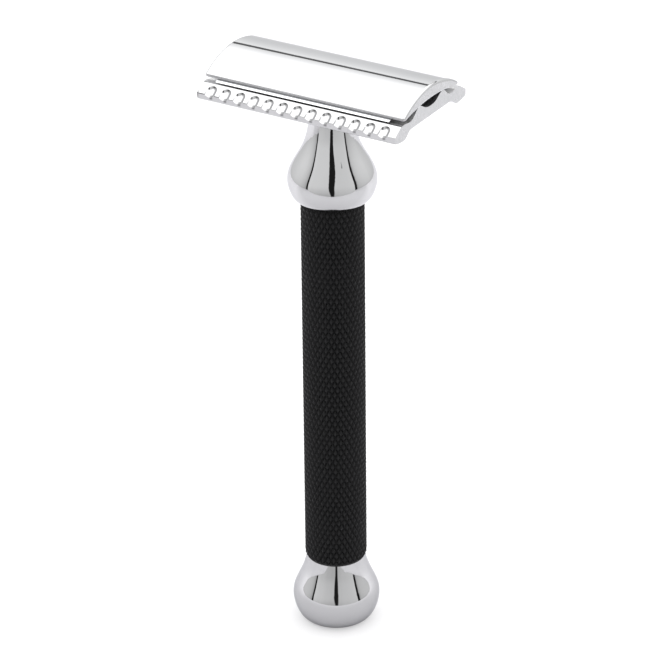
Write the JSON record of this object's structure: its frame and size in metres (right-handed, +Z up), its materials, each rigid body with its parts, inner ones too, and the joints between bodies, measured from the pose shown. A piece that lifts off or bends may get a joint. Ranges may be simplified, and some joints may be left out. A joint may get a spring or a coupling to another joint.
{
  "type": "double-edge safety razor",
  "caption": "Three-piece double-edge safety razor: arched cap, bowed blade and scalloped guard plate screwed onto a knurled handle with a bulbous collar and end knob.",
  "frame": {"origin": "Middle of the round foot under the end knob, on the surface that the razor stands on, and on the handle's axis.", "axes": "+Z up the handle to the head, X along the head and its blade, Y across the head. The head is the same on both sides."},
  "size_m": [0.043, 0.0264, 0.1195],
  "materials": {
    "cap_chrome": "bright chrome plate on a polished zinc casting",
    "plate_chrome": "bright chrome plate, satin on the cut end faces",
    "handle_chrome": "bright chrome plate on turned brass",
    "pin_chrome": "chrome plate",
    "stud_steel": "cut thread, bright steel",
    "blade_steel": "rolled stainless strip with ground edges",
    "insert_brass": "turned brass",
    "rod_steel": "turned steel bar",
    "washer_black": "black nylon",
    "sleeve_black": "black anodised, fine diamond knurl"
  },
  "bodies": {
    "handle": {"handle_collar": "handle_chrome", "threaded_insert": "insert_brass", "end_knob": "handle_chrome", "core_rod": "rod_steel", "lower_washer": "washer_black", "upper_washer": "washer_black", "grip_sleeve": "sleeve_black"},
    "plate": {"base_plate": "plate_chrome"},
    "cap": {"top_cap": "cap_chrome", "cap_stud": "stud_steel", "locating_pins": "pin_chrome"},
    "blade": {"blade": "blade_steel"}
  },
  "joints": [
    {"name": "head_turn", "type": "hinge", "parent": "handle", "child": "plate", "pos_m": [0, 0, 0.1134], "axis": [0, 0, 1], "range_deg": [0, 2610]},
    {"name": "cap_lift", "type": "slide", "parent": "plate", "child": "cap", "axis": [0, 0, 1], "range_m": [0, 0.0059]},
    {"name": "blade_lift", "type": "slide", "parent": "plate", "child": "blade", "axis": [0, 0, 1], "range_m": [0, 0.003]}
  ],
  "couplings": [
    {"joint": "cap_lift", "follows": "head_turn", "m_per_rad": 0.00012732},
    {"joint": "blade_lift", "follows": "head_turn", "m_per_rad": 0.000063662}
  ]
}
